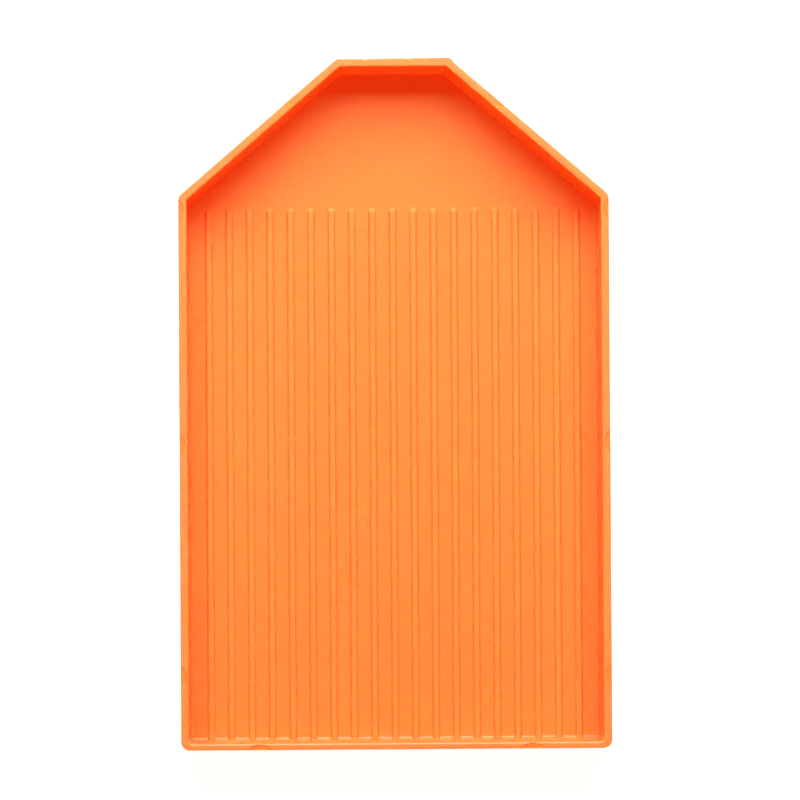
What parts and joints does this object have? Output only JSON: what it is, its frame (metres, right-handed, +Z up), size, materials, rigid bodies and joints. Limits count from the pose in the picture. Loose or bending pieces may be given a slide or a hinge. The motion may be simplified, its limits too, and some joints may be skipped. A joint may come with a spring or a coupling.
{
  "type": "grooved sorting tray",
  "caption": "Shallow open moulded tray, house-shaped in plan: a rectangle tapering to a short flat pouring nose, with an even wall all round and parallel ribs along its floor.",
  "frame": {"origin": "middle of the box in plan, on the plane that the underside rests on", "axes": "+X across the tray, +Y along it towards the tapered nose, +Z up, out of the open top"},
  "size_m": [0.092, 0.1474, 0.015],
  "materials": {
    "tray_plastic": "orange polypropylene as moulded, satin, with glossier rounded edges"
  },
  "bodies": {
    "root": {"tray": "tray_plastic"}
  },
  "joints": []
}
